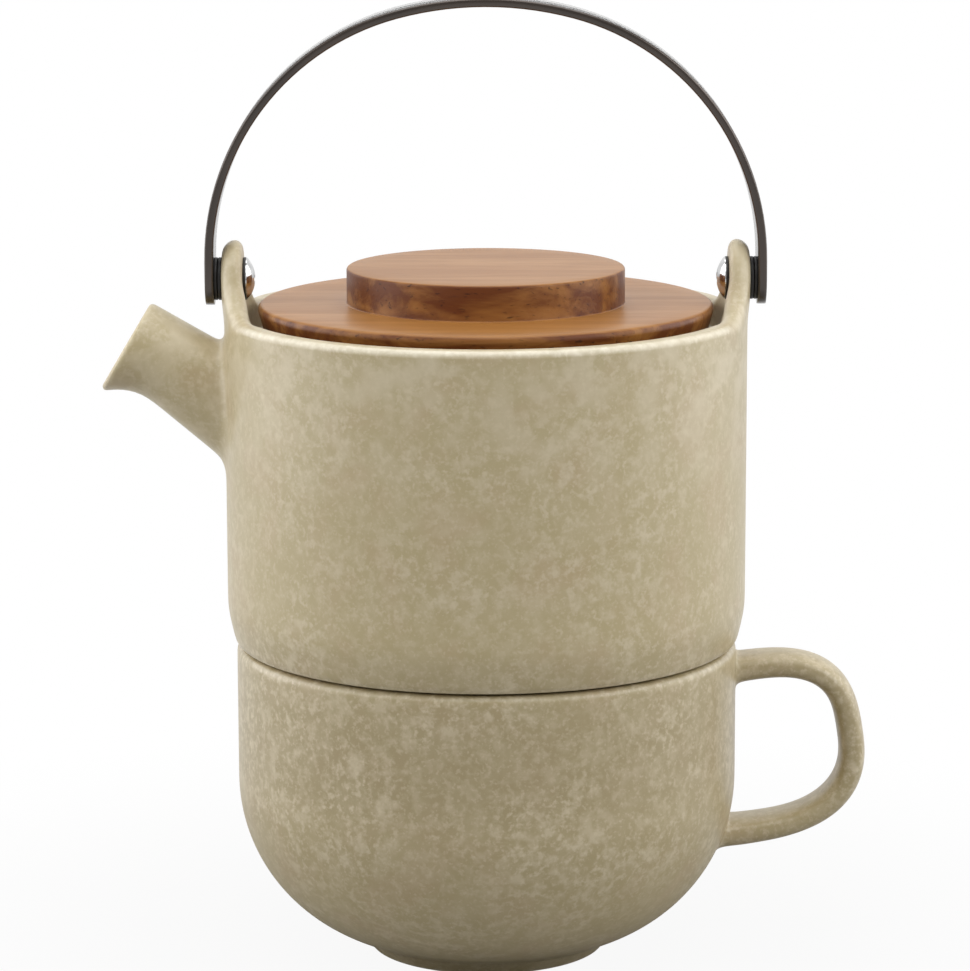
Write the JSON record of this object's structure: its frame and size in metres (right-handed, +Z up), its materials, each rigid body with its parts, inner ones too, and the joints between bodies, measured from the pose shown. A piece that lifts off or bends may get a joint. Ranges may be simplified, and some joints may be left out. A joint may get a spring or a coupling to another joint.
{
  "type": "stacking teapot with cup",
  "caption": "Stoneware teapot with a wooden lid and a swinging flat steel bail, stacked on its own cup with a strap handle.",
  "frame": {"origin": "centre of the foot ring's plane under the stacked set, on the axis of pot and cup", "axes": "+Z up through the bail's top, the spout points to -X, the cup's handle to +X, the bail turns about X"},
  "size_m": [0.1748, 0.12, 0.222],
  "materials": {
    "stoneware": "satin mottled reactive glaze, sage beige",
    "lid_wood": "oiled brown hardwood",
    "seal": "matte translucent silicone",
    "basket_steel": "fine brushed stainless",
    "bail_bronze": "satin dark brown coating",
    "screw_chrome": "polished",
    "black_bush": "matte black"
  },
  "bodies": {
    "pot_and_cup": {"cup": "stoneware", "teapot_body": "stoneware", "lid": "lid_wood", "lid_seal": "seal", "infuser_basket": "basket_steel", "pivot_bush_left": "black_bush", "pivot_bush_right": "black_bush", "inner_washer_left": "black_bush", "inner_washer_right": "black_bush"},
    "bail": {"handle_strip": "bail_bronze", "handle_screw_left": "screw_chrome", "handle_screw_right": "screw_chrome", "outer_washer_left": "black_bush", "outer_washer_right": "black_bush"}
  },
  "joints": [
    {"name": "bail_swing", "type": "hinge", "parent": "pot_and_cup", "child": "bail", "pos_m": [0, 0, 0.1577], "axis": [1, 0, 0], "range_deg": [-98, 98]}
  ]
}
